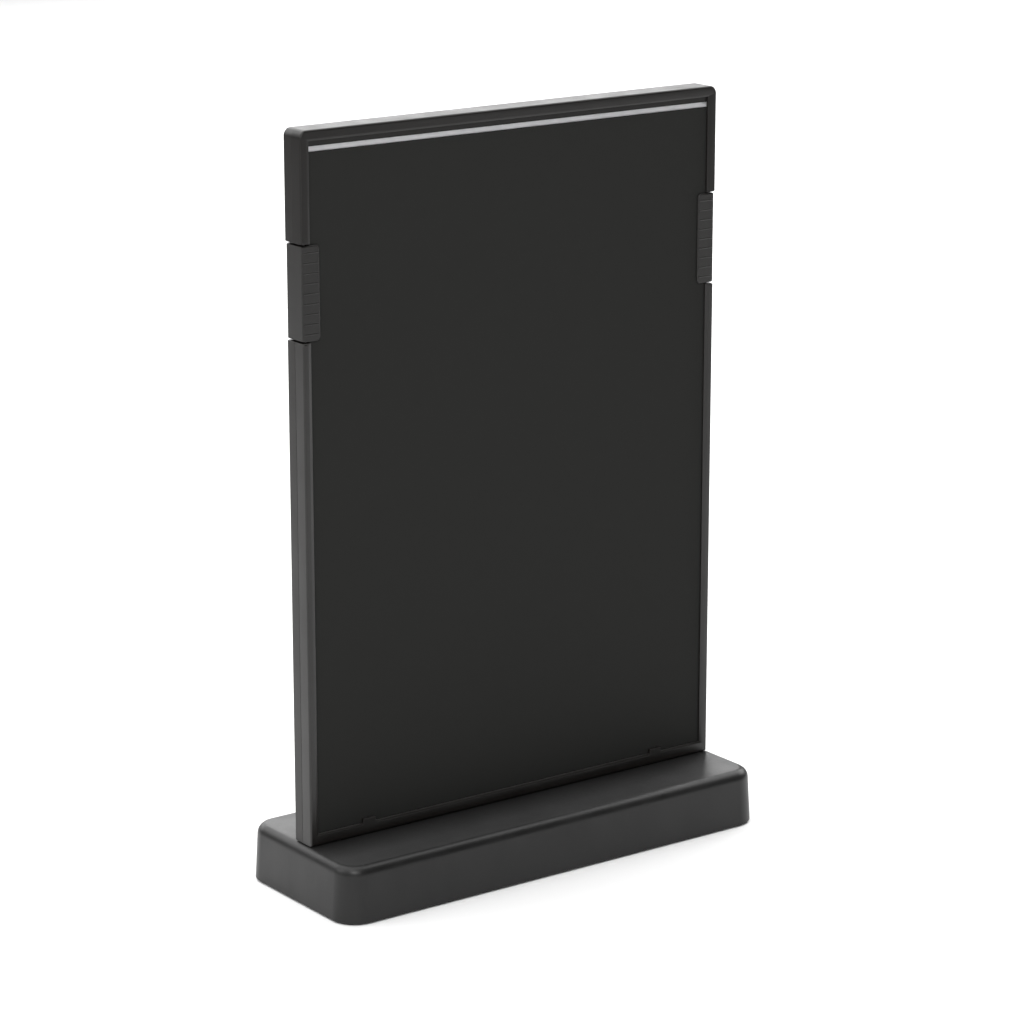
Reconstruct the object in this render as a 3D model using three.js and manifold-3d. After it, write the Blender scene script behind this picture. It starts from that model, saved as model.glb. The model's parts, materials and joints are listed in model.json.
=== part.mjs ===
// A tabletop chalkboard sign: a portrait frame with a writing board on each side, standing on a weighted base.
// The hood is the top of the frame. Squeezing the two ribbed grips frees it, and the boards then slide out upwards.
// Millimetres. X runs across the sign, the front faces -Y and Z is up. The origin is on the floor, under the middle.
import * as THREE from 'three';
import { mergeVertices } from 'three/addons/utils/BufferGeometryUtils.js';
import Module from 'manifold-3d';

const wasm = await Module();
wasm.setup();

// ---------- Driving dimensions ----------
const GAP = 0.3; // clearance between pieces that sit against each other
const SLIP = 0.1; // clearance between thin sheets that lie on each other
const PAST = 1; // how far a cutting solid runs past what it cuts

const BASE_LENGTH = 228;
const BASE_DEPTH = 81;
const BASE_TOP = 25.8; // height of the base's top face above the floor
const BASE_CORNER = 12; // plan radius of the corners
const BASE_FILLET = 4.6; // rounding of the top edge
const BASE_DRAFT = 1.1; // how much the sides lean in over their height
const BASE_WALL = 2.4;
const BASE_RIM = 0.6; // the rim's height above the floor, because the sign stands on its feet

const FRAME_HEIGHT = 310.2; // above the base
const FRAME_TOP = BASE_TOP + FRAME_HEIGHT;
const HOOD_HALF_WIDTH = 110;
const HOOD_HALF_DEPTH = 6.5;
const HOOD_CORNER = 3.5;
const LOWER_HALF_WIDTH = 109.65; // the lower frame is a shade smaller than the hood
const LOWER_HALF_DEPTH = 6.4;
const LOWER_TOP = BASE_TOP + 221.4; // where the lower frame's stiles end
const HOOD_BOTTOM = BASE_TOP + 262.7; // where the hood's stiles end
const EDGE_ROUND = 0.9;
const SEAM = 0.1; // half the seam between a front half and a back half

const BEVEL_SIDE = 1.8; // width of the shallow bevel that leads from the border to the window, at the sides
const BEVEL_END = 1; // and along the top and bottom rails
const BEVEL_DEPTH = 0.7;
const WINDOW_HALF_WIDTH = 105.3;
const WINDOW_BOTTOM = BASE_TOP + 5.35;
const WINDOW_TOP = BASE_TOP + 305.5;
const GROOVE_HALF_WIDTH = 106.75;
const GROOVE_HALF_DEPTH = 5;
const GROOVE_FLOOR = BASE_TOP + 3.5;
const FASCIA_BOTTOM = BASE_TOP + 303.2; // the hood's recessed inner lip over the boards

const BOARD_HEIGHT = 297; // the height of an A4 sheet
const BOARD_THICKNESS = 1.4;
const BOARD_FACE = 4.9; // distance of a board's face from the middle of the frame
const SHEET_HALF_WIDTH = 106.5;
const BACKING_THICKNESS = 0.8;
const BACKING_TOP = FRAME_TOP - 4.7;

const GUIDE_INNER = 95.2; // the guide strip's edges, measured from the middle of the sign
const GUIDE_OUTER = 104;
const GUIDE_HALF_THICKNESS = 1.2;
const GUIDE_BOTTOM = 200;
const WEB_OUTER_FACE = 2.45; // the webs that hold the guide strips, measured from the middle of the frame
const PIN_RADIUS = 1.2;
const PIN_BORE_RADIUS = 1.3;

const GRIP_HALF_WIDTH = 109.5;
const GRIP_INNER = 100.6;
const GRIP_HALF_DEPTH = 5.9;
const GRIP_GAP = 0.35; // the gap between a grip and the stiles above and below it
const GRIP_BOTTOM = LOWER_TOP + GRIP_GAP;
const GRIP_TOP = HOOD_BOTTOM - GRIP_GAP;
const GRIP_SKIN = 1.4; // thickness of the grip's side web
const GRIP_ROUND = 0.6;
const RIB_COUNT = 9;
const RIB_PITCH = 4.3;
const NOTCH_DEPTH = 0.8; // the V notch between a grip and its neighbours
const NOTCH_RISE = 0.4;

// Each grip's latch leg ends in a tooth that hooks under a strike inside the lower frame.
const LATCH_HALF_THICKNESS = 1.1;
const LATCH_LEG = { inner: 105.2, outer: 106.2, low: 232 };
const LATCH_TOOTH = { tip: 107, tipLow: 234.4, top: 235.8 };
const LATCH_STRIKE = { inner: 107.2, outer: 108.2, halfDepth: 1.5, low: 236.2, high: 238.2 };
const LATCH_ROOM = { inner: 104, outer: 107.9, halfDepth: 1.45, low: 228 };

// The hollow in each guide strip that holds the head of a grip and its spring, and the slot the grip's neck passes.
const CHAMBER = { inner: 97.5, outer: 103, low: 256.7, high: 279.2 };
const MOUTH = { low: 260.7, high: 275.2 };
const SPRING_THICKNESS = 0.35;
const SPRING_WIDTH = 1.8;

const BOARD_TAB = { inner: 76, outer: 82.4, rise: 2 }; // small tabs on the bottom rail, over the boards' feet

const TENON_CENTRE = 75;
const TENON_WIDTH = 36;
const TENON_HALF_DEPTH = 5.5;
const TENON_BOTTOM = 11;
const TENON_SCREW_X = 62; // the screw across each tenon, which clamps the two halves together
const TENON_SCREW_Z = 19;

const PLATE_SCREW_X = 99; // the base plate's corner screws
const PLATE_SCREW_Y = 27.5;
const PLATE_SCREW_SEAT = 1.9; // height of the screw heads' undersides, and of the feet's recesses
const FOOT_X = 84;
const FOOT_Y = 27.5;
const FOOT_RADIUS = 7;
const PLATE_TOP = 3;

// ---------- Materials ----------
const makeMaterial = (color, roughness, metalness = 0) =>
  new THREE.MeshStandardMaterial({ color, roughness, metalness });
const blackPlastic = () => makeMaterial(0x1f1e1d, 0.45);
const blackRubber = () => makeMaterial(0x171717, 0.9);
const boardBlack = () => makeMaterial(0x2b2b2a, 0.85);
const lightGrey = () => makeMaterial(0xb6b6ba, 0.7);
const greyCard = () => makeMaterial(0xc9c7c2, 0.9);
const zincSteel = () => makeMaterial(0xa9abad, 0.4, 1);
const springSteel = () => makeMaterial(0x8a8c90, 0.35, 1);

// ---------- Solids ----------
function toSolid(geometry) {
  const bare = geometry.clone();
  bare.deleteAttribute('normal');
  bare.deleteAttribute('uv');
  const merged = mergeVertices(bare, 1e-4);
  return new wasm.Manifold(new wasm.Mesh({
    numProp: 3,
    vertProperties: new Float32Array(merged.attributes.position.array),
    triVerts: new Uint32Array(merged.index.array),
  }));
}

function toGeometry(solid) {
  const { vertProperties, triVerts, numProp } = solid.getMesh();
  const positions = new Float32Array((vertProperties.length / numProp) * 3);
  for (let i = 0; i * numProp < vertProperties.length; i += 1) {
    positions.set(vertProperties.slice(i * numProp, i * numProp + 3), i * 3);
  }
  const geometry = new THREE.BufferGeometry();
  geometry.setAttribute('position', new THREE.BufferAttribute(positions, 3));
  geometry.setIndex(new THREE.BufferAttribute(new Uint32Array(triVerts), 1));
  geometry.computeVertexNormals();
  return geometry;
}

const unite = (solids) => solids.reduce((sum, next) => sum.add(next));
const cutAll = (solid, cutters) => cutters.reduce((rest, cutter) => rest.subtract(cutter), solid);

// A box from its [low, high] reach along each axis.
function box(x, y, z) {
  const geometry = new THREE.BoxGeometry(x[1] - x[0], y[1] - y[0], z[1] - z[0]);
  geometry.translate((x[0] + x[1]) / 2, (y[0] + y[1]) / 2, (z[0] + z[1]) / 2);
  return toSolid(geometry);
}

// The same box on both sides of the sign's middle plane, across Y.
const boxPair = (x, y, z) => box(x, y, z).add(box(x, [-y[1], -y[0]], z));

function uprightCylinder(radius, zLow, zHigh, segments = 24) {
  const geometry = new THREE.CylinderGeometry(radius, radius, zHigh - zLow, segments);
  geometry.rotateX(Math.PI / 2);
  geometry.translate(0, 0, (zLow + zHigh) / 2);
  return toSolid(geometry);
}

function crosswiseCylinder(radius, yLow, yHigh, x, z, segments = 24) {
  const geometry = new THREE.CylinderGeometry(radius, radius, yHigh - yLow, segments);
  geometry.translate(x, (yLow + yHigh) / 2, z);
  return toSolid(geometry);
}

// Joins loops of points, each with the same number of points, into one closed skin with flat ends.
function loft(loops) {
  const count = loops[0].length;
  const points = loops.flat();
  const faces = [];
  for (let level = 0; level + 1 < loops.length; level += 1) {
    for (let i = 0; i < count; i += 1) {
      const a = level * count + i;
      const b = level * count + ((i + 1) % count);
      faces.push(a, b, b + count, a, b + count, a + count);
    }
  }
  const top = (loops.length - 1) * count;
  for (let i = 1; i + 1 < count; i += 1) {
    faces.push(0, i + 1, i);
    faces.push(top, top + i, top + i + 1);
  }
  const geometry = new THREE.BufferGeometry().setFromPoints(points);
  geometry.setIndex(faces);
  return toSolid(geometry);
}

// A front-view outline, drawn in X and Z, made into a plate of the given depth with rounded front and back edges.
function roundedPlate(outline, halfDepth, round = EDGE_ROUND) {
  const geometry = new THREE.ExtrudeGeometry(outline, {
    depth: 2 * (halfDepth - round),
    bevelThickness: round,
    bevelSize: round,
    bevelOffset: -round,
    bevelSegments: 3,
    curveSegments: 8,
  });
  geometry.translate(0, 0, -(halfDepth - round));
  geometry.rotateX(Math.PI / 2);
  return toSolid(geometry);
}

// The same with sharp edges.
function plainPlate(outline, halfDepth) {
  const geometry = new THREE.ExtrudeGeometry(outline, { depth: 2 * halfDepth, bevelEnabled: false });
  geometry.translate(0, 0, -halfDepth);
  geometry.rotateX(Math.PI / 2);
  return toSolid(geometry);
}

function polygon(points) {
  return new THREE.Shape(points.map(([x, y]) => new THREE.Vector2(x, y)));
}

// ---------- Base ----------
function roundedRectLoop(halfLength, halfDepth, radius, z) {
  const shape = new THREE.Shape();
  const cornerX = halfLength - radius;
  const cornerY = halfDepth - radius;
  shape.absarc(cornerX, cornerY, radius, 0, Math.PI / 2);
  shape.absarc(-cornerX, cornerY, radius, Math.PI / 2, Math.PI);
  shape.absarc(-cornerX, -cornerY, radius, Math.PI, 1.5 * Math.PI);
  shape.absarc(cornerX, -cornerY, radius, 1.5 * Math.PI, 2 * Math.PI);
  const points = shape.getPoints(8);
  if (points[0].distanceTo(points[points.length - 1]) < 1e-6) points.pop();
  return points.map((point) => new THREE.Vector3(point.x, point.y, z));
}

function baseLoop(z, inset) {
  const radius = Math.max(BASE_CORNER - inset, 2);
  return roundedRectLoop(BASE_LENGTH / 2 - inset, BASE_DEPTH / 2 - inset, radius, z);
}

function makeBaseOuter() {
  const rimRound = 0.4;
  const filletSteps = 6;
  const loops = [baseLoop(BASE_RIM, rimRound), baseLoop(BASE_RIM + rimRound, 0)];
  for (let step = 0; step <= filletSteps; step += 1) {
    const angle = (step / filletSteps) * (Math.PI / 2);
    const z = BASE_TOP - BASE_FILLET + BASE_FILLET * Math.sin(angle);
    loops.push(baseLoop(z, BASE_DRAFT + BASE_FILLET * (1 - Math.cos(angle))));
  }
  return loft(loops);
}

function makeBaseCavity() {
  const ceiling = BASE_TOP - BASE_WALL;
  return loft([
    baseLoop(BASE_RIM - PAST, BASE_WALL),
    baseLoop(ceiling - 3, BASE_WALL + BASE_DRAFT),
    baseLoop(ceiling, BASE_WALL + BASE_DRAFT + 2),
  ]);
}

const bothSides = (solidAt) => [solidAt(1), solidAt(-1)];
const corners = (x, y) => [[x, y], [x, -y], [-x, y], [-x, -y]];

// A hollow moulding, open below, with two sockets for the frame's tenons, four screw posts and two hold-down ribs.
function makeBaseCover() {
  const socketWall = 2.2;
  const socketFloor = TENON_BOTTOM - GAP;
  const inTop = BASE_TOP - BASE_WALL + 0.5;
  const postRadius = 3.75;
  const ribX = 40;
  const ribHalf = 0.8;
  const halfTenon = TENON_WIDTH / 2 + GAP;
  const deepTenon = TENON_HALF_DEPTH + GAP;
  const socketBlocks = bothSides((side) => box(
    [side * TENON_CENTRE - halfTenon - socketWall, side * TENON_CENTRE + halfTenon + socketWall],
    [-deepTenon - socketWall, deepTenon + socketWall],
    [socketFloor - socketWall, inTop],
  ));
  const posts = corners(PLATE_SCREW_X, PLATE_SCREW_Y).map(([x, y]) =>
    uprightCylinder(postRadius, PLATE_TOP + 0.1, inTop).translate(x, y, 0));
  const ribs = bothSides((side) => box(
    [side * ribX - ribHalf, side * ribX + ribHalf],
    [-BASE_DEPTH / 2 + BASE_WALL - 0.2, BASE_DEPTH / 2 - BASE_WALL + 0.2],
    [PLATE_TOP + 8.6, inTop],
  ));
  const shell = makeBaseOuter().subtract(makeBaseCavity());
  const pockets = bothSides((side) => box(
    [side * TENON_CENTRE - halfTenon, side * TENON_CENTRE + halfTenon],
    [-deepTenon, deepTenon],
    [socketFloor, BASE_TOP + PAST],
  ));
  const screwHoles = bothSides((side) =>
    uprightCylinder(2, socketFloor - 2 * socketWall, BASE_TOP).translate(side * TENON_CENTRE, 0, 0));
  const pilots = corners(PLATE_SCREW_X, PLATE_SCREW_Y).map(([x, y]) =>
    uprightCylinder(1.25, PLATE_TOP - PAST, 15, 16).translate(x, y, 0));
  return cutAll(unite([shell, ...socketBlocks, ...posts, ...ribs]), [...pockets, ...screwHoles, ...pilots]);
}

// The plate that closes the base from below, with recesses for the feet and holes for the screws.
function makeBasePlate() {
  const edge = BASE_WALL + 0.35;
  const plate = loft([baseLoop(BASE_RIM, edge), baseLoop(PLATE_TOP, edge)]);
  const footRecesses = corners(FOOT_X, FOOT_Y).map(([x, y]) =>
    uprightCylinder(FOOT_RADIUS + 0.2, BASE_RIM - PAST, PLATE_SCREW_SEAT, 32).translate(x, y, 0));
  const screwHoles = corners(PLATE_SCREW_X, PLATE_SCREW_Y).map(([x, y]) =>
    uprightCylinder(1.5, BASE_RIM - PAST, PLATE_TOP + PAST, 16).translate(x, y, 0));
  const counterbores = corners(PLATE_SCREW_X, PLATE_SCREW_Y).map(([x, y]) =>
    uprightCylinder(3, BASE_RIM - PAST, 2).translate(x, y, 0));
  const accessHoles = bothSides((side) =>
    uprightCylinder(5, BASE_RIM - PAST, PLATE_TOP + PAST, 32).translate(side * TENON_CENTRE, 0, 0));
  return cutAll(plate, [...footRecesses, ...screwHoles, ...counterbores, ...accessHoles]);
}

function makeBallast() {
  const halfLength = 90;
  const halfDepth = 12;
  const height = 8;
  const radius = 2;
  return loft([
    roundedRectLoop(halfLength, halfDepth, radius, 0),
    roundedRectLoop(halfLength, halfDepth, radius, height),
  ]);
}

function makeFoot() {
  const edge = 0.4;
  const height = 1.7;
  const profile = [[0, 0], [FOOT_RADIUS - edge, 0], [FOOT_RADIUS, edge], [FOOT_RADIUS, height], [0, height]];
  const geometry = new THREE.LatheGeometry(profile.map(([r, z]) => new THREE.Vector2(r, z)), 32);
  geometry.rotateX(Math.PI / 2);
  return toSolid(geometry);
}

// A pan-head screw that points up from its head's underside at z = 0, with a cross slot in the head.
function makeScrew(headRadius, headHeight, shankRadius, length) {
  const slotHalf = 0.35;
  const tip = shankRadius * 0.8;
  const profile = [
    [0, -headHeight], [headRadius - 0.5, -headHeight], [headRadius, -headHeight + 0.5], [headRadius, 0],
    [shankRadius, 0], [shankRadius, length - tip], [0.2, length], [0, length],
  ];
  const geometry = new THREE.LatheGeometry(profile.map(([r, z]) => new THREE.Vector2(r, z)), 20);
  geometry.rotateX(Math.PI / 2);
  const reach = headRadius * 0.62;
  const slotDepth = headHeight * 0.5;
  const slotZ = [-headHeight - PAST, -headHeight + slotDepth];
  return cutAll(toSolid(geometry), [
    box([-reach, reach], [-slotHalf, slotHalf], slotZ),
    box([-slotHalf, slotHalf], [-reach, reach], slotZ),
  ]);
}

// ---------- Frame ----------
// The window's wall and the bevel around it, cut through the front and back lips.
function makeWindowCut(halfDepth, zLow, zHigh) {
  const wallFrom = GROOVE_HALF_DEPTH - 0.05;
  const wall = boxPair([-WINDOW_HALF_WIDTH, WINDOW_HALF_WIDTH], [wallFrom, halfDepth + PAST], [zLow, zHigh]);
  const bevelFoot = halfDepth - BEVEL_DEPTH;
  const spread = (BEVEL_DEPTH + PAST) / BEVEL_DEPTH;
  const loopAt = (y, grow) => {
    const x = WINDOW_HALF_WIDTH + BEVEL_SIDE * grow;
    const low = zLow - BEVEL_END * grow;
    const high = zHigh + BEVEL_END * grow;
    return [[-x, low], [x, low], [x, high], [-x, high]].map(([px, pz]) => new THREE.Vector3(px, y, pz));
  };
  const frontBevel = loft([loopAt(-halfDepth - PAST, spread), loopAt(-bevelFoot, 0)].reverse());
  const backBevel = loft([loopAt(bevelFoot, 0), loopAt(halfDepth + PAST, spread)].map((loop) => loop.reverse()));
  return unite([wall, frontBevel, backBevel]);
}

// Two webs beside the middle plane, which hold the guide strip of one side between them.
function makeWebs(side, innerFace, zLow, zHigh) {
  const x = sideRange(side, GUIDE_INNER - GAP, GROOVE_HALF_WIDTH + 0.5);
  return boxPair(x, [innerFace, WEB_OUTER_FACE], [zLow, zHigh]);
}

// A reach measured outwards from the middle of the sign, turned into low and high X on one side.
const sideRange = (side, inner, outer) => (side > 0 ? [inner, outer] : [-outer, -inner]);
const splitBox = (y) => box([-BASE_LENGTH, BASE_LENGTH], y, [-PAST, 2 * FRAME_TOP]);
const frontHalfOf = (solid) => solid.intersect(splitBox([-BASE_DEPTH, -SEAM]));
const backHalfOf = (solid) => solid.intersect(splitBox([SEAM, BASE_DEPTH]));

// The U-shaped lower frame, both halves in one: stiles, bottom rail, tenons, guide channels and board tabs.
function makeLowerFrame() {
  const bottom = BASE_TOP + 0.25;
  const outline = polygon([
    [-LOWER_HALF_WIDTH, bottom], [LOWER_HALF_WIDTH, bottom],
    [LOWER_HALF_WIDTH, LOWER_TOP - NOTCH_RISE], [LOWER_HALF_WIDTH - NOTCH_DEPTH, LOWER_TOP],
    [-LOWER_HALF_WIDTH + NOTCH_DEPTH, LOWER_TOP], [-LOWER_HALF_WIDTH, LOWER_TOP - NOTCH_RISE],
  ]);
  const body = roundedPlate(outline, LOWER_HALF_DEPTH);
  const groove = box(
    [-GROOVE_HALF_WIDTH, GROOVE_HALF_WIDTH],
    [-GROOVE_HALF_DEPTH, GROOVE_HALF_DEPTH],
    [GROOVE_FLOOR, LOWER_TOP + PAST],
  );
  const windowCut = makeWindowCut(LOWER_HALF_DEPTH, WINDOW_BOTTOM, LOWER_TOP + PAST);
  const latchRoom = bothSides((side) => box(
    sideRange(side, LATCH_ROOM.inner, LATCH_ROOM.outer),
    [-LATCH_ROOM.halfDepth, LATCH_ROOM.halfDepth],
    [LATCH_ROOM.low, LOWER_TOP + PAST],
  ));
  const carved = cutAll(body, [groove, windowCut, ...latchRoom]);
  const added = [makeGuideChannel, makeTenon, makeBoardTabs].flatMap(bothSides);
  return cutAll(unite([carved, ...added]), bothSides(makeTenonBores));
}

// The channel a guide strip slides in, closed below the latch, and the strike for the latch's tooth.
function makeGuideChannel(side) {
  const root = GROOVE_FLOOR - 0.5;
  const intoStile = GROOVE_HALF_WIDTH + 0.5;
  const edgeWall = 1;
  const innerEdge = sideRange(side, GUIDE_INNER - GAP - edgeWall, GUIDE_INNER - GAP);
  const outerFill = sideRange(side, GUIDE_OUTER + GAP, intoStile);
  return unite([
    makeWebs(side, LATCH_ROOM.halfDepth, root, LOWER_TOP),
    box(innerEdge, [-WEB_OUTER_FACE, WEB_OUTER_FACE], [root, LOWER_TOP]),
    box(outerFill, [-WEB_OUTER_FACE, WEB_OUTER_FACE], [root, LATCH_ROOM.low - 2]),
    box(
      sideRange(side, LATCH_STRIKE.inner, LATCH_STRIKE.outer),
      [-LATCH_STRIKE.halfDepth, LATCH_STRIKE.halfDepth],
      [LATCH_STRIKE.low, LATCH_STRIKE.high],
    ),
  ]);
}

function makeTenon(side) {
  const x = sideRange(side, TENON_CENTRE - TENON_WIDTH / 2, TENON_CENTRE + TENON_WIDTH / 2);
  return box(x, [-TENON_HALF_DEPTH, TENON_HALF_DEPTH], [TENON_BOTTOM, BASE_TOP + 1]);
}

function makeBoardTabs(side) {
  const root = WINDOW_BOTTOM - BEVEL_END - 0.2;
  return boxPair(sideRange(side, BOARD_TAB.inner, BOARD_TAB.outer), [GROOVE_HALF_DEPTH, LOWER_HALF_DEPTH],
    [root, WINDOW_BOTTOM + BOARD_TAB.rise]);
}

// The bores for the screw that comes up from the base and for the one that runs across the tenon.
function makeTenonBores(side) {
  const mouth = -TENON_HALF_DEPTH - PAST;
  return unite([
    uprightCylinder(1.9, TENON_BOTTOM - PAST, GROOVE_FLOOR - 1.5).translate(side * TENON_CENTRE, 0, 0),
    crosswiseCylinder(1.6, mouth, 4, side * TENON_SCREW_X, TENON_SCREW_Z),
    crosswiseCylinder(3, mouth, -TENON_HALF_DEPTH + 1.9, side * TENON_SCREW_X, TENON_SCREW_Z),
  ]);
}

// The hood, both halves in one: the top rail and the short upper ends of the stiles.
function makeHood() {
  const outline = new THREE.Shape();
  const cornerX = HOOD_HALF_WIDTH - HOOD_CORNER;
  const cornerZ = FRAME_TOP - HOOD_CORNER;
  outline.moveTo(-HOOD_HALF_WIDTH, HOOD_BOTTOM + NOTCH_RISE);
  outline.lineTo(-HOOD_HALF_WIDTH + NOTCH_DEPTH, HOOD_BOTTOM);
  outline.lineTo(HOOD_HALF_WIDTH - NOTCH_DEPTH, HOOD_BOTTOM);
  outline.lineTo(HOOD_HALF_WIDTH, HOOD_BOTTOM + NOTCH_RISE);
  outline.absarc(cornerX, cornerZ, HOOD_CORNER, 0, Math.PI / 2);
  outline.absarc(-cornerX, cornerZ, HOOD_CORNER, Math.PI / 2, Math.PI);
  const body = roundedPlate(outline, HOOD_HALF_DEPTH);
  const boardPocket = box(
    [-GROOVE_HALF_WIDTH, GROOVE_HALF_WIDTH],
    [-GROOVE_HALF_DEPTH, GROOVE_HALF_DEPTH],
    [HOOD_BOTTOM - PAST, FASCIA_BOTTOM],
  );
  const backingDepth = BOARD_FACE - BOARD_THICKNESS;
  const backingPocket = box(
    [-GROOVE_HALF_WIDTH, GROOVE_HALF_WIDTH],
    [-backingDepth, backingDepth],
    [HOOD_BOTTOM - PAST, BACKING_TOP + 0.5],
  );
  const windowCut = makeWindowCut(HOOD_HALF_DEPTH, HOOD_BOTTOM - PAST, WINDOW_TOP);
  const webs = bothSides((side) =>
    makeWebs(side, GUIDE_HALF_THICKNESS + 0.05, HOOD_BOTTOM + 0.5, BACKING_TOP + 1));
  const hollowed = cutAll(body, [boardPocket, backingPocket, windowCut]);
  return cutAll(unite([hollowed, ...webs]), bothSides(makePinBores));
}

const guidePinX = (GUIDE_INNER + GUIDE_OUTER) / 2;
const guidePinHeights = [HOOD_BOTTOM + 7, FRAME_TOP - 14];

// The bores of the two pins that hold a guide strip in the hood.
function makePinBores(side) {
  const reach = WEB_OUTER_FACE + PAST;
  const boreAt = (z) => crosswiseCylinder(PIN_BORE_RADIUS, -reach, reach, side * guidePinX, z);
  return unite(guidePinHeights.map(boreAt));
}

// ---------- Guides, grips and latches, drawn on the right-hand side ----------
// The flat strip that joins the hood to the lower frame's channel. A chamber in its edge holds the grip's head.
function makeGuide() {
  const strip = box(
    [GUIDE_INNER, GUIDE_OUTER],
    [-GUIDE_HALF_THICKNESS, GUIDE_HALF_THICKNESS],
    [GUIDE_BOTTOM, BACKING_TOP],
  );
  const throughY = [-GUIDE_HALF_THICKNESS - PAST, GUIDE_HALF_THICKNESS + PAST];
  const chamber = box([CHAMBER.inner, CHAMBER.outer], throughY, [CHAMBER.low, CHAMBER.high]);
  const mouth = box([CHAMBER.outer - 0.1, GUIDE_OUTER + PAST], throughY, [MOUTH.low, MOUTH.high]);
  return cutAll(strip, [chamber, mouth, makePinBores(1)]);
}

// The grip's clip: a leaf on each face of the frame, with round inner corners, joined by a web round the side.
function makeGripClip() {
  const leafInner = BOARD_FACE + GAP;
  const cornerRadius = 2;
  const outer = GRIP_HALF_WIDTH;
  const shape = new THREE.Shape();
  shape.moveTo(outer, GRIP_BOTTOM + NOTCH_RISE);
  shape.lineTo(outer, GRIP_TOP - NOTCH_RISE);
  shape.lineTo(outer - NOTCH_DEPTH, GRIP_TOP);
  shape.absarc(GRIP_INNER + cornerRadius, GRIP_TOP - cornerRadius, cornerRadius, Math.PI / 2, Math.PI);
  shape.absarc(GRIP_INNER + cornerRadius, GRIP_BOTTOM + cornerRadius, cornerRadius, Math.PI, 1.5 * Math.PI);
  shape.lineTo(outer - NOTCH_DEPTH, GRIP_BOTTOM);
  const block = roundedPlate(shape, GRIP_HALF_DEPTH, GRIP_ROUND);
  const hollow = box([GRIP_INNER - PAST, GRIP_HALF_WIDTH - GRIP_SKIN], [-leafInner, leafInner],
    [GRIP_BOTTOM - PAST, GRIP_TOP + PAST]);
  return block.subtract(hollow);
}

// Low rounded ribs across both leaves, for the finger and the thumb.
function makeGripRibs() {
  const middle = (GRIP_TOP + GRIP_BOTTOM) / 2;
  const ribRadius = 0.5;
  const ribLength = GRIP_HALF_WIDTH - GRIP_INNER - 1.4;
  const sink = 0.25; // the ribs are flat arcs, because their centres lie under the leaf's face
  const ribs = [];
  for (let i = 0; i < RIB_COUNT; i += 1) {
    const z = middle + (i - (RIB_COUNT - 1) / 2) * RIB_PITCH;
    for (const face of [-1, 1]) {
      const geometry = new THREE.CylinderGeometry(ribRadius, ribRadius, ribLength, 12);
      geometry.rotateZ(Math.PI / 2);
      geometry.translate((GRIP_INNER + GRIP_HALF_WIDTH) / 2, face * (GRIP_HALF_DEPTH - sink), z);
      ribs.push(toSolid(geometry));
    }
  }
  return unite(ribs);
}

// The head that rides in the guide's chamber, its neck, and the latch leg that reaches down into the lower frame.
function makeGripCore() {
  const play = 0.5;
  const headLength = 1.8;
  const headOuter = CHAMBER.outer - GAP;
  const y = [-LATCH_HALF_THICKNESS, LATCH_HALF_THICKNESS];
  const head = box([headOuter - headLength, headOuter], y, [CHAMBER.low + play, CHAMBER.high - play]);
  const neck = box([headOuter - 0.1, GRIP_HALF_WIDTH - 0.5], y, [MOUTH.low + play, MOUTH.high - play]);
  const leg = box([LATCH_LEG.inner, LATCH_LEG.outer], y, [LATCH_LEG.low, MOUTH.low + 1]);
  const toothRoot = LATCH_LEG.outer - 0.1;
  const tooth = plainPlate(polygon([
    [toothRoot, LATCH_LEG.low], [LATCH_TOOTH.tip, LATCH_TOOTH.tipLow],
    [LATCH_TOOTH.tip, LATCH_TOOTH.top], [toothRoot, LATCH_TOOTH.top],
  ]), LATCH_HALF_THICKNESS);
  return unite([head, neck, leg, tooth]);
}

const makeGrip = () => unite([makeGripClip(), makeGripRibs(), makeGripCore()]);

// A bowed leaf spring between the chamber's inner wall and the grip's head.
function makeGripSpring() {
  const middle = (CHAMBER.low + CHAMBER.high) / 2;
  const reach = 9.5;
  const bow = 2.4;
  const steps = 12;
  const curve = (offset) => Array.from({ length: steps + 1 }, (_, i) => {
    const along = -1 + (2 * i) / steps;
    return [CHAMBER.inner + 0.2 + offset + bow * (1 - along * along), middle + reach * along];
  });
  const outline = polygon([...curve(0), ...curve(SPRING_THICKNESS).reverse()]);
  return plainPlate(outline, SPRING_WIDTH / 2);
}

// ---------- Boards and filling ----------
function makeSheet(halfWidth, thickness, zLow, zHigh) {
  return box([-halfWidth, halfWidth], [-thickness / 2, thickness / 2], [zLow, zHigh]);
}

// ---------- Assembly ----------
const sign = new THREE.Group();

function addPiece(parent, name, solid, material, position = [0, 0, 0]) {
  const mesh = new THREE.Mesh(toGeometry(solid), material);
  mesh.name = name;
  mesh.position.set(...position);
  parent.add(mesh);
  return mesh;
}

function addGroup() {
  const group = new THREE.Group();
  sign.add(group);
  return group;
}

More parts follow.
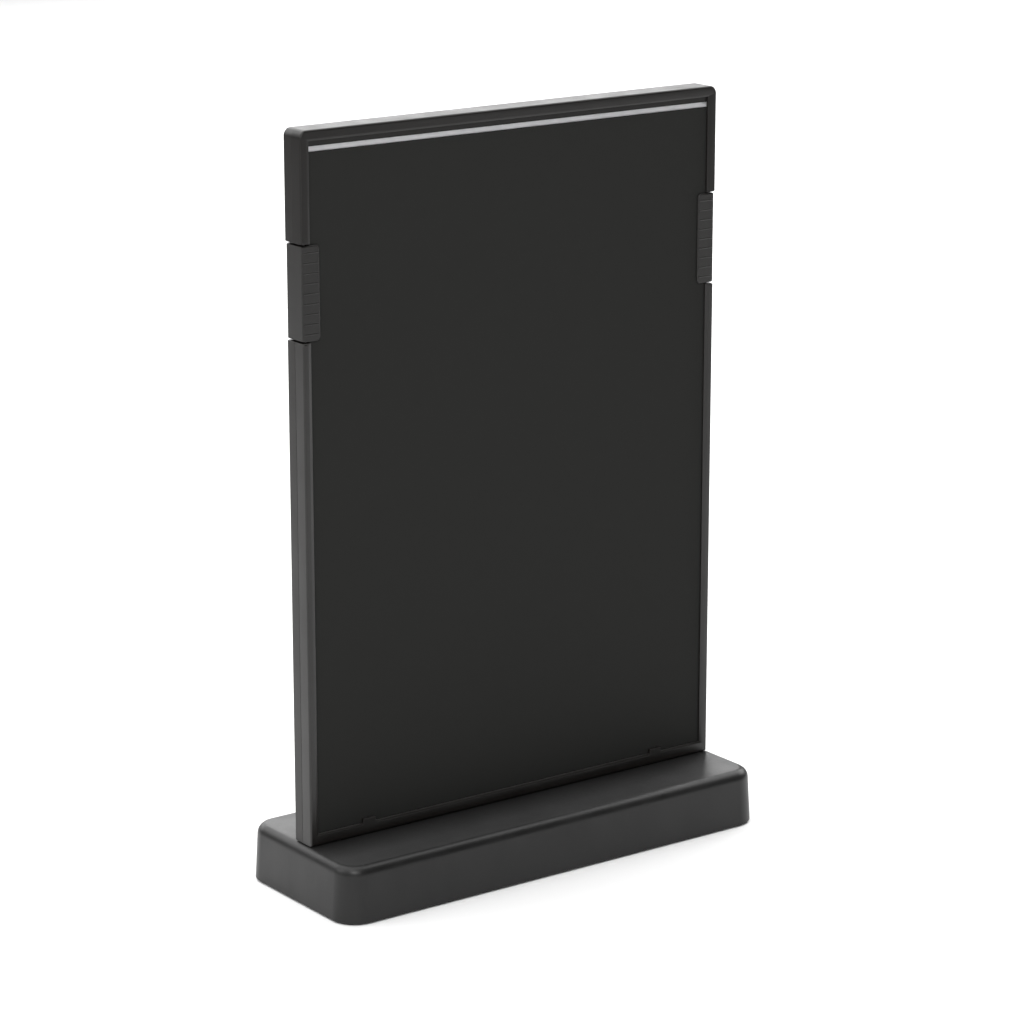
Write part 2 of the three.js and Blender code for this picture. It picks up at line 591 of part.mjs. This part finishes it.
const base = addGroup();
addPiece(base, 'base_cover', makeBaseCover(), blackPlastic());
addPiece(base, 'base_plate', makeBasePlate(), blackPlastic());
addPiece(base, 'front_ballast', makeBallast(), zincSteel(), [0, -22.5, PLATE_TOP + GAP]);
addPiece(base, 'back_ballast', makeBallast(), zincSteel(), [0, 22.5, PLATE_TOP + GAP]);
for (const [side, x] of [['left', -1], ['right', 1]]) {
  for (const [face, y] of [['front', -1], ['back', 1]]) {
    addPiece(base, `${face}_${side}_foot`, makeFoot(), blackRubber(), [x * FOOT_X, y * FOOT_Y, 0]);
    const plateScrewPlace = [x * PLATE_SCREW_X, y * PLATE_SCREW_Y, PLATE_SCREW_SEAT];
    addPiece(base, `${face}_${side}_base_screw`, makeScrew(2.7, 1.1, 1.1, 12), zincSteel(), plateScrewPlace);
  }
  const frameScrew = makeScrew(3.7, 2.6, 1.7, 17);
  addPiece(base, `${side}_frame_screw`, frameScrew, zincSteel(), [x * TENON_CENTRE, 0, 8.3]);
  const tenonScrew = addPiece(base, `${side}_tenon_screw`, makeScrew(2.7, 1.5, 1.4, 7.4), zincSteel(),
    [x * TENON_SCREW_X, -TENON_HALF_DEPTH + 1.8, TENON_SCREW_Z]);
  tenonScrew.rotation.x = -Math.PI / 2;
}

const lowerFrame = addGroup();
addPiece(lowerFrame, 'lower_frame_front', frontHalfOf(makeLowerFrame()), blackPlastic());
addPiece(lowerFrame, 'lower_frame_back', backHalfOf(makeLowerFrame()), blackPlastic());

const hood = addGroup();
addPiece(hood, 'hood_front', frontHalfOf(makeHood()), blackPlastic());
addPiece(hood, 'hood_back', backHalfOf(makeHood()), blackPlastic());
for (const [side, mirrored] of [['left', true], ['right', false]]) {
  const place = (solid) => (mirrored ? solid.mirror([1, 0, 0]) : solid);
  addPiece(hood, `${side}_guide`, place(makeGuide()), blackPlastic());
  addPiece(hood, `${side}_grip`, place(makeGrip()), blackPlastic());
  addPiece(hood, `${side}_grip_spring`, place(makeGripSpring()), springSteel());
  const pinSolid = crosswiseCylinder(PIN_RADIUS, -WEB_OUTER_FACE, WEB_OUTER_FACE, 0, 0, 20);
  const pinX = mirrored ? -guidePinX : guidePinX;
  ['lower', 'upper'].forEach((level, i) => {
    addPiece(hood, `${side}_${level}_guide_pin`, pinSolid, zincSteel(), [pinX, 0, guidePinHeights[i]]);
  });
}

const filling = addGroup();
const sheetBottom = GROOVE_FLOOR + GAP;
const board = makeSheet(SHEET_HALF_WIDTH, BOARD_THICKNESS, sheetBottom, sheetBottom + BOARD_HEIGHT);
const backing = makeSheet(SHEET_HALF_WIDTH, BACKING_THICKNESS, sheetBottom, BACKING_TOP);
const boardY = BOARD_FACE - BOARD_THICKNESS / 2;
const backingY = BOARD_FACE - BOARD_THICKNESS - SLIP - BACKING_THICKNESS / 2;
for (const [face, y] of [['front', -1], ['back', 1]]) {
  addPiece(filling, `${face}_board`, board, boardBlack(), [0, y * boardY, 0]);
  addPiece(filling, `${face}_backing`, backing, lightGrey(), [0, y * backingY, 0]);
}
addPiece(filling, 'core_board', makeSheet(GUIDE_INNER - 1.6, 4.8, sheetBottom, BACKING_TOP), greyCard());

export default sign;
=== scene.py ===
"""The looks of a tabletop sandwich board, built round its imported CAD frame. Blender 4.5, metres."""
import json
import math

import bmesh
import bpy
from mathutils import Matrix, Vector


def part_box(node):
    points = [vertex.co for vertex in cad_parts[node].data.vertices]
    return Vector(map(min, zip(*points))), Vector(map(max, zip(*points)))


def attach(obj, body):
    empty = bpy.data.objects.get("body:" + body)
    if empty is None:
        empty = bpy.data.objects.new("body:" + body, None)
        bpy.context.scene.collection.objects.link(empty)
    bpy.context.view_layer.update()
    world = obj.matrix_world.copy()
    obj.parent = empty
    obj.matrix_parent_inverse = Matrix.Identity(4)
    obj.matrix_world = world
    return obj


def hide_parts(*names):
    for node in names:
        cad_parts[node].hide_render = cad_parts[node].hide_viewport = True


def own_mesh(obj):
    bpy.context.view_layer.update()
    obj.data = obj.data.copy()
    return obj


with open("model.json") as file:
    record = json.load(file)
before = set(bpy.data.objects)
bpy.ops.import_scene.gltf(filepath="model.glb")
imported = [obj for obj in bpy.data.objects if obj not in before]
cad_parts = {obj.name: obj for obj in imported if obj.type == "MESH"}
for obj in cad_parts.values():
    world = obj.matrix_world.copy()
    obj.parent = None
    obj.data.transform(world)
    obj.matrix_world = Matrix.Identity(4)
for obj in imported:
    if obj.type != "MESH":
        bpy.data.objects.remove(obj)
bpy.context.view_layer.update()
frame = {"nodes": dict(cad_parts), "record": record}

MM = 0.001
MERGE_DISTANCE = 0.001 * MM  # points nearer to each other than this are one point
FLAT_ANGLE = math.radians(0.5)  # neighbouring faces that differ by less than this are one face
SHARP_ANGLE = math.radians(35)  # edges that turn by more than this are rounded
EDGE_BREAK = 0.18 * MM  # the small radius a moulding's sharp edges really have
GRIP_EDGE = 0.15 * MM  # the same on a grip
BOARD_EDGE = 0.08 * MM  # the same on a board
EDGE_SEGMENTS = 2
FLAT_FACE_WEIGHT = 80  # above 50, the larger faces decide more of the shading
EDGE_WEAR = 0.35 * MM  # how far from an edge the plastic is rubbed
RUBBED_LIGHTER = 1.9  # how many times lighter rubbed plastic is
SEAM_HALF_GAP = 0.015 * MM  # half of what is left between two half shells that are clamped together
SIDE_SKIN = 1.4 * MM  # the outermost part of a half shell, which leans with its side
DRAFT = 0.16 * MM  # how far each half shell's side leans in between the seam and its face
BLACK_SKIN = 0.16 * MM  # thickness of the black skin on a board's white core


def add_object(name, data):
    thing = bpy.data.objects.new(name, data)
    bpy.context.scene.collection.objects.link(thing)
    return thing


# ---------- Materials ----------
def new_material(name):
    """A material with a single Principled shader, its node tree, and that shader."""
    material = bpy.data.materials.new(name)
    material.use_nodes = True
    tree = material.node_tree
    tree.nodes.clear()
    output = tree.nodes.new("ShaderNodeOutputMaterial")
    shader = tree.nodes.new("ShaderNodeBsdfPrincipled")
    tree.links.new(shader.outputs["BSDF"], output.inputs["Surface"])
    return material, tree, shader


def node_coordinates(tree):
    return tree.nodes.new("ShaderNodeTexCoord").outputs["Object"]


def surface_normal(tree):
    return tree.nodes.new("ShaderNodeNewGeometry").outputs["Normal"]


def component(tree, vector, axis):
    node = tree.nodes.new("ShaderNodeSeparateXYZ")
    tree.links.new(vector, node.inputs["Vector"])
    return node.outputs[axis]


def stretched(tree, vector, scale):
    mapping = tree.nodes.new("ShaderNodeMapping")
    mapping.inputs["Scale"].default_value = scale
    tree.links.new(vector, mapping.inputs["Vector"])
    return mapping.outputs["Vector"]


def noise(tree, vector, feature, detail=2, roughness=0.5):
    """Soft noise whose blobs are about `feature` metres across, from 0 to 1."""
    node = tree.nodes.new("ShaderNodeTexNoise")
    node.inputs["Scale"].default_value = 1 / feature
    node.inputs["Detail"].default_value = detail
    node.inputs["Roughness"].default_value = roughness
    tree.links.new(vector, node.inputs["Vector"])
    return node.outputs["Fac"]


def pebbles(tree, vector, feature):
    """The distance to the nearest cell centre, for a spark-eroded or leathery grain."""
    node = tree.nodes.new("ShaderNodeTexVoronoi")
    node.inputs["Scale"].default_value = 1 / feature
    tree.links.new(vector, node.inputs["Vector"])
    return node.outputs["Distance"]


def remap(tree, value, low, high, from_low=0.3, from_high=0.7):
    node = tree.nodes.new("ShaderNodeMapRange")
    node.inputs["From Min"].default_value = from_low
    node.inputs["From Max"].default_value = from_high
    node.inputs["To Min"].default_value = low
    node.inputs["To Max"].default_value = high
    tree.links.new(value, node.inputs["Value"])
    return node.outputs["Result"]


def arithmetic(tree, operation, first, second):
    node = tree.nodes.new("ShaderNodeMath")
    node.operation = operation
    for socket, value in zip(node.inputs, (first, second)):
        if isinstance(value, (int, float)):
            socket.default_value = value
        else:
            tree.links.new(value, socket)
    return node.outputs["Value"]


def blend_colours(tree, factor, first, second):
    """Goes from the first colour to the second as the factor goes from 0 to 1."""
    node = tree.nodes.new("ShaderNodeMix")
    node.data_type = "RGBA"
    tree.links.new(factor, node.inputs["Factor"])
    for socket, value in ((node.inputs["A"], first), (node.inputs["B"], second)):
        if isinstance(value, tuple):
            socket.default_value = (*value, 1)
        else:
            tree.links.new(value, socket)
    return node.outputs["Result"]


def edge_mask(tree, radius):
    """1 on the very edge of a piece and 0 a radius away from it."""
    bevel = tree.nodes.new("ShaderNodeBevel")
    bevel.samples = 4
    bevel.inputs["Radius"].default_value = radius
    dot = tree.nodes.new("ShaderNodeVectorMath")
    dot.operation = "DOT_PRODUCT"
    tree.links.new(bevel.outputs["Normal"], dot.inputs[0])
    tree.links.new(surface_normal(tree), dot.inputs[1])
    return remap(tree, dot.outputs["Value"], 1, 0, from_low=0.75, from_high=0.98)


def add_bump(tree, shader, height, distance):
    node = tree.nodes.new("ShaderNodeBump")
    node.inputs["Distance"].default_value = distance
    node.inputs["Strength"].default_value = 1
    tree.links.new(height, node.inputs["Height"])
    tree.links.new(node.outputs["Normal"], shader.inputs["Normal"])


def moulded_plastic(name, dark, light, roughness, specular=0.42, grain=0.4 * MM, grain_height=0.006 * MM):
    """Black moulded plastic: fine spark-eroded grain, faint flow clouds, handling marks and rubbed edges."""
    material, tree, shader = new_material(name)
    where = node_coordinates(tree)
    clouds = noise(tree, where, 45 * MM, detail=4)
    smudges = noise(tree, stretched(tree, where, (1, 1, 0.45)), 14 * MM, detail=5, roughness=0.6)
    speckle = noise(tree, where, grain)
    edges = edge_mask(tree, EDGE_WEAR)
    body_colour = blend_colours(tree, remap(tree, clouds, 0, 1), dark, light)
    rubbed = tuple(channel * RUBBED_LIGHTER for channel in light)
    tree.links.new(blend_colours(tree, edges, body_colour, rubbed), shader.inputs["Base Color"])
    cloudy = remap(tree, smudges, roughness - 0.05, roughness + 0.06)
    grainy = arithmetic(tree, "ADD", cloudy, remap(tree, speckle, -0.03, 0.03))
    polish = arithmetic(tree, "MULTIPLY", edges, -0.08)
    tree.links.new(arithmetic(tree, "ADD", grainy, polish), shader.inputs["Roughness"])
    shader.inputs["Specular IOR Level"].default_value = specular
    height = arithmetic(tree, "ADD", speckle, pebbles(tree, where, grain * 1.7))
    add_bump(tree, shader, height, grain_height)
    return material


def paint_shade_near_frame_foot(material, clear, fully_lit_past, lit_top_colour):
    """Paints shade beside the frame's foot: level faces keep the plastic's own colour within `clear` metres
    of the middle plane, are painted lighter in patches further out, and are fully lighter past the second
    distance.
    """
    tree = material.node_tree
    shader = next(node for node in tree.nodes if node.type == "BSDF_PRINCIPLED")
    where = node_coordinates(tree)
    from_middle = arithmetic(tree, "ABSOLUTE", component(tree, where, "Y"), 0)
    # painted shade beside the frame's foot: 0 near the middle plane, where the level top keeps its dark
    # colour, and 1 where it is painted fully lighter
    beside = remap(tree, from_middle, 0, 1, from_low=clear, from_high=fully_lit_past)
    level = remap(tree, component(tree, surface_normal(tree), "Z"), 0, 1, from_low=0.93, from_high=0.995)
    patches = remap(tree, noise(tree, where, 30 * MM, detail=5, roughness=0.6), 0.8, 1)
    amount = arithmetic(tree, "MULTIPLY", arithmetic(tree, "MULTIPLY", beside, level), patches)
    plastic_colour = shader.inputs["Base Color"].links[0].from_socket
    tree.links.new(blend_colours(tree, amount, plastic_colour, lit_top_colour), shader.inputs["Base Color"])


def writing_surface(name):
    """Matt black board film with the faint cloudiness that wiping leaves."""
    material, tree, shader = new_material(name)
    where = node_coordinates(tree)
    wiped = noise(tree, stretched(tree, where, (0.35, 1, 1)), 60 * MM, detail=5, roughness=0.55)
    tooth = noise(tree, where, 0.5 * MM)
    dark = (0.0176, 0.0177, 0.0166)
    light = (0.019, 0.0192, 0.0181)
    tree.links.new(blend_colours(tree, remap(tree, wiped, 0, 1), dark, light), shader.inputs["Base Color"])
    clouded = remap(tree, wiped, 0.74, 0.82)
    toothed = remap(tree, tooth, -0.03, 0.03)
    tree.links.new(arithmetic(tree, "ADD", clouded, toothed), shader.inputs["Roughness"])
    shader.inputs["Specular IOR Level"].default_value = 0.12
    add_bump(tree, shader, tooth, 0.012 * MM)
    return material


def sheet_plastic(name, dark, light, roughness):
    """Plain sheet stock, slightly uneven in tone, with fine marks along its length."""
    material, tree, shader = new_material(name)
    where = node_coordinates(tree)
    clouds = noise(tree, where, 25 * MM, detail=4)
    streaks = noise(tree, stretched(tree, where, (1, 1, 0.05)), 1.2 * MM, detail=3)
    tree.links.new(blend_colours(tree, remap(tree, clouds, 0, 1), dark, light), shader.inputs["Base Color"])
    tree.links.new(remap(tree, streaks, roughness - 0.06, roughness + 0.06), shader.inputs["Roughness"])
    add_bump(tree, shader, streaks, 0.01 * MM)
    return material


def greyboard(name):
    """Uncoated grey board: fibres and flecks."""
    material, tree, shader = new_material(name)
    where = node_coordinates(tree)
    fibres = noise(tree, stretched(tree, where, (1, 1, 0.2)), 0.9 * MM, detail=5, roughness=0.65)
    flecks = noise(tree, where, 2.5 * MM, detail=3)
    fibre_colour = blend_colours(tree, remap(tree, fibres, 0, 1), (0.47, 0.45, 0.42), (0.62, 0.6, 0.56))
    fleck_strength = remap(tree, flecks, 0, 0.5, from_low=0.62, from_high=0.7)
    flecked = blend_colours(tree, fleck_strength, fibre_colour, (0.3, 0.28, 0.26))
    tree.links.new(flecked, shader.inputs["Base Color"])
    tree.links.new(remap(tree, fibres, 0.84, 0.96), shader.inputs["Roughness"])
    add_bump(tree, shader, fibres, 0.05 * MM)
    return material


def plated_steel(name, dark, light, roughness, brushed=(1, 1, 1)):
    """Metal with cloudy plating and fine scratches, which run along the axis that `brushed` shrinks."""
    material, tree, shader = new_material(name)
    where = node_coordinates(tree)
    clouds = noise(tree, where, 6 * MM, detail=4)
    scratches = noise(tree, stretched(tree, where, brushed), 0.35 * MM, detail=4, roughness=0.65)
    tree.links.new(blend_colours(tree, remap(tree, clouds, 0, 1), dark, light), shader.inputs["Base Color"])
    shader.inputs["Metallic"].default_value = 1
    tree.links.new(remap(tree, scratches, roughness - 0.1, roughness + 0.12), shader.inputs["Roughness"])
    add_bump(tree, shader, scratches, 0.008 * MM)
    return material


def foot_rubber(name):
    """Matt rubber with a dust-flecked, pebbled skin."""
    material, tree, shader = new_material(name)
    where = node_coordinates(tree)
    dust = noise(tree, where, 3 * MM, detail=5, roughness=0.6)
    grain = pebbles(tree, where, 0.4 * MM)
    colour = blend_colours(tree, remap(tree, dust, 0, 1), (0.013, 0.013, 0.013), (0.03, 0.029, 0.028))
    tree.links.new(colour, shader.inputs["Base Color"])
    tree.links.new(remap(tree, dust, 0.78, 0.92), shader.inputs["Roughness"])
    add_bump(tree, shader, grain, 0.03 * MM)
    return material


SHELL_DARK = (0.0078, 0.0068, 0.006)
SHELL_LIGHT = (0.0102, 0.009, 0.008)
frame_plastic = moulded_plastic("frame_black_plastic", SHELL_DARK, SHELL_LIGHT, roughness=0.4)
# painted shade: the hood is a darker, less reflective copy of the frame's plastic, so its rail looks darker
hood_shaded_plastic = moulded_plastic(
    "hood_shaded_black_plastic",
    dark=(0.0056, 0.0048, 0.0042),
    light=(0.0073, 0.0063, 0.0055),
    roughness=0.4,
    specular=0.36,
)
# The half shells are one plastic in two copies tuned to the light. The front copy reflects more, a painted
# sheen, and the back copy less, a painted shade, so the side is lighter in front of the seam and darker
# behind it.
front_shell_lit_plastic = moulded_plastic(
    "front_shell_lit_black_plastic",
    dark=(0.0066, 0.0057, 0.005),
    light=(0.0086, 0.0076, 0.0067),
    roughness=0.36,
    specular=0.5,
)
back_shell_shaded_plastic = moulded_plastic(
    "back_shell_shaded_black_plastic",
    SHELL_DARK,
    SHELL_LIGHT,
    roughness=0.38,
    specular=0.31,
)
base_plastic = moulded_plastic(
    "base_black_plastic",
    dark=(0.0068, 0.0067, 0.0066),
    light=(0.0092, 0.009, 0.0088),
    roughness=0.4,
    specular=0.38,
    grain=0.5 * MM,
)
grip_plastic = moulded_plastic(
    "grip_black_plastic",
    dark=(0.0066, 0.0059, 0.0052),
    light=(0.0092, 0.0083, 0.0074),
    roughness=0.4,
    specular=0.46,
    grain_height=0.008 * MM,
)
# painted light on the base's level top, left out beside the frame's foot as painted shade
paint_shade_near_frame_foot(base_plastic, clear=6 * MM, fully_lit_past=26 * MM, lit_top_colour=(0.042, 0.042, 0.042))
board_film = writing_surface("board_black_film")
board_core = sheet_plastic("board_white_core", (0.84, 0.84, 0.83), (0.9, 0.9, 0.89), 0.6)
backing_sheet = sheet_plastic("backing_light_grey", (0.8, 0.8, 0.82), (0.86, 0.86, 0.88), 0.55)
grey_card = greyboard("core_grey_card")
zinc_steel = plated_steel("zinc_plated_steel", (0.36, 0.37, 0.39), (0.46, 0.46, 0.45), 0.38)
spring_steel = plated_steel(
    "spring_steel_strip", (0.2, 0.2, 0.22), (0.28, 0.28, 0.29), 0.3, brushed=(1, 1, 0.03))
rubber = foot_rubber("black_foot_rubber")

SLOT_MATERIALS = {
    "black_plastic": frame_plastic,
    "black_rubber": rubber,
    "board_black": board_film,
    "backing_grey": backing_sheet,
    "grey_card": grey_card,
    "zinc_steel": zinc_steel,
    "spring_steel": spring_steel,
}
SHELL_PLASTICS = {
    "lower_frame_front": front_shell_lit_plastic,
    "lower_frame_back": back_shell_shaded_plastic,
    "hood_front": hood_shaded_plastic,
    "hood_back": hood_shaded_plastic,
}

behaviour = frame["record"]["behaviour"]
SLOT_OF_NODE = {part["node"]: part["material_slot"] for part in frame["record"]["subparts"]}
BODY_OF_NODE = {node: body for body, nodes in behaviour["bodies"].items() for node in nodes}
JOINT_LIMITS = {joint["name"]: joint["range_m"] for joint in behaviour["joints"]}


# ---------- Pieces ----------
def clean_copy(node, name):
    """A new piece with a CAD node's shape, its doubled points merged and its flat triangles joined."""
    mesh = frame["nodes"][node].data.copy()
    mesh.name = name
    work = bmesh.new()
    work.from_mesh(mesh)
    bmesh.ops.remove_doubles(work, verts=work.verts, dist=MERGE_DISTANCE)
    bmesh.ops.dissolve_limit(work, angle_limit=FLAT_ANGLE, verts=work.verts, edges=work.edges)
    work.to_mesh(mesh)
    work.free()
    return add_object(name, mesh)


def set_materials(piece, *materials):
    piece.data.materials.clear()
    for material in materials:
        piece.data.materials.append(material)


def round_edges(piece, width):
    """Breaks the sharp edges and shades the result smoothly, with the flats kept flat."""
    bevel = piece.modifiers.new("edge_break", "BEVEL")
    bevel.width = width
    bevel.segments = EDGE_SEGMENTS
    bevel.limit_method = "ANGLE"
    bevel.angle_limit = SHARP_ANGLE
    piece.data.shade_smooth()
    weighted = piece.modifiers.new("flat_faces", "WEIGHTED_NORMAL")
    weighted.weight = FLAT_FACE_WEIGHT


def stand_in(piece, node):
    """Shows the piece in a CAD node's place, on the node's body."""
    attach(piece, BODY_OF_NODE[node])
    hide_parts(node)


def finish_copy(node, material, edge=EDGE_BREAK, reshape=None):
    """Stands a refined piece in for a CAD node."""
    piece = clean_copy(node, node + "_moulding")
    if reshape:
        for vertex in piece.data.vertices:
            vertex.co = reshape(vertex.co)
    set_materials(piece, material)
    round_edges(piece, edge)
    stand_in(piece, node)


def shell_shape(node):
    """Closes a half shell's seam and leans its outer side, which is widest at the seam."""
    low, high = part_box(node)
    half_width = high.x
    half_depth = max(-low.y, high.y)
    seam = min(abs(low.y), abs(high.y))
    side_zone = half_width - SIDE_SKIN
    seam_tolerance = 0.01 * MM

    def reshape(point):
        depth, x = abs(point.y), point.x
        if abs(depth - seam) < seam_tolerance:
            depth = SEAM_HALF_GAP
        if abs(x) >= side_zone:
            x -= math.copysign(DRAFT * depth / half_depth, x)
        return Vector((x, math.copysign(depth, point.y), point.z))

    return reshape


def make_board(node):
    """A board with a white core between two thin black skins, and edges broken by sanding."""
    low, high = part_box(node)
    corners = ((low.x, low.z), (high.x, low.z), (high.x, high.z), (low.x, high.z))
    depths = (low.y, low.y + BLACK_SKIN, high.y - BLACK_SKIN, high.y)
    black, white = 0, 1
    work = bmesh.new()
    rings = [[work.verts.new((x, y, z)) for x, z in corners] for y in depths]
    for layer, (ring, after) in enumerate(zip(rings, rings[1:])):
        for i in range(len(corners)):
            j = (i + 1) % len(corners)
            face = work.faces.new((ring[i], ring[j], after[j], after[i]))
            face.material_index = white if layer == 1 else black
    for ring in (rings[0], rings[-1]):
        work.faces.new(ring).material_index = black
    bmesh.ops.recalc_face_normals(work, faces=work.faces)
    mesh = bpy.data.meshes.new(node + "_panel")
    work.to_mesh(mesh)
    work.free()
    piece = add_object(node + "_panel", mesh)
    set_materials(piece, board_film, board_core)
    round_edges(piece, BOARD_EDGE)
    stand_in(piece, node)


def make_spring(side):
    """The bowed strip behind a grip, which flattens against its chamber's inner wall as the grip is squeezed.
    The piece keeps the CAD node's bowed shape.
    """
    node = side + "_grip_spring"
    joint = side + "_grip_squeeze"
    travel = max(abs(limit) for limit in JOINT_LIMITS[joint])
    piece = clean_copy(node, node + "_strip")
    set_materials(piece, spring_steel)
    piece.data.shade_smooth()
    stand_in(piece, node)
    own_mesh(piece)


def dress_cad_nodes():
    """Gives every CAD node its slot's finish. The ones that a piece stands in for aren't shown."""
    for node, piece in frame["nodes"].items():
        set_materials(piece, SLOT_MATERIALS[SLOT_OF_NODE[node]])


for shell, plastic in SHELL_PLASTICS.items():
    finish_copy(shell, plastic, reshape=shell_shape(shell))
finish_copy("base_cover", base_plastic)
finish_copy("base_plate", base_plastic)
for grip in ("left_grip", "right_grip"):
    finish_copy(grip, grip_plastic, edge=GRIP_EDGE)
for board in ("front_board", "back_board"):
    make_board(board)
make_spring("left")
make_spring("right")
dress_cad_nodes()


# ---------- Stage ----------
def plain_material(name, grey, roughness, specular=0.5):
    material, _, shader = new_material(name)
    shader.inputs["Base Color"].default_value = (grey, grey, grey, 1)
    shader.inputs["Roughness"].default_value = roughness
    shader.inputs["Specular IOR Level"].default_value = specular
    return material


def stage_sheet(name, corners, material):
    """One flat face that belongs to the stage."""
    mesh = bpy.data.meshes.new(name)
    mesh.from_pydata(corners, [], [tuple(range(len(corners)))])
    mesh.materials.append(material)
    sheet = add_object(name, mesh)
    return sheet


def make_floor():
    reach = 12
    corners = [(-reach, -reach, 0), (reach, -reach, 0), (reach, reach, 0), (-reach, reach, 0)]
    stage_sheet("floor", corners, plain_material("studio_floor", 0.85, roughness=0.9, specular=0.1))


def make_flag():
    """A low black card at the back left, beside the main picture, that the frame's left side mirrors."""
    half_width, bottom, top = 1.1, 0.01, 0.34
    corners = [(-half_width, 0, bottom), (half_width, 0, bottom), (half_width, 0, top), (-half_width, 0, top)]
    flag = stage_sheet("flag", corners, plain_material("black_flag", 0.02, roughness=1))
    flag.location = (-0.95, 1.05, 0)
    flag.rotation_euler.z = math.radians(36)


def make_dark_world():
    """All the light comes from the softboxes."""
    world = bpy.data.worlds.new("studio")
    world.use_nodes = True
    world.node_tree.nodes["Background"].inputs["Strength"].default_value = 0
    bpy.context.scene.world = world


def softbox(name, location, target, size, radiance):
    """An evenly glowing panel, given by its size in metres and by how bright it looks."""
    data = bpy.data.lights.new(name, "AREA")
    data.shape = "RECTANGLE"
    data.size, data.size_y = size
    data.energy = radiance * math.pi * size[0] * size[1]
    light = add_object(name, data)
    light.location = location
    light.rotation_euler = (Vector(target) - Vector(location)).to_track_quat("-Z", "Y").to_euler()
    light.visible_camera = False


def make_camera():
    """A long lens that looks at the object's middle from the front left, a little above it."""
    target = Vector((0.0028, 0.0009, 0.156))
    azimuth = math.radians(-36.24)
    elevation = math.radians(14.98)
    distance = 1.578
    level = math.cos(elevation)
    back = Vector((math.sin(azimuth) * level, -math.cos(azimuth) * level, math.sin(elevation)))
    data = bpy.data.cameras.new("camera")
    data.sensor_width = 36
    data.lens = 126.1
    camera = add_object("camera", data)
    camera.location = target + back * distance
    camera.rotation_mode = "QUATERNION"
    camera.rotation_quaternion = (-back).to_track_quat("-Z", "Y")
    bpy.context.scene.camera = camera


make_floor()
make_dark_world()
softbox("back_softbox", location=(0.7, 3.2, 1.75), target=(0.7, 0, 1.75), size=(4.7, 2.3), radiance=3.3)
softbox("overhead_softbox", location=(0, 0.6, 2.6), target=(0, 0.6, 0), size=(4.5, 3.5), radiance=2.5)
softbox("key_softbox", location=(-1.25, -1.75, 1.6), target=(0, 0, 0.15), size=(1.0, 0.8), radiance=13.5)
softbox("left_softbox", location=(-2.4, 0.8, 1.5), target=(-0.6, 0.4, 0), size=(2.0, 1.4), radiance=3.0)
softbox("right_softbox", location=(2.4, 0.4, 1.5), target=(0.6, 0, 0), size=(2.0, 1.4), radiance=4.5)
make_flag()
make_camera()
bpy.context.scene.view_settings.view_transform = "Standard"
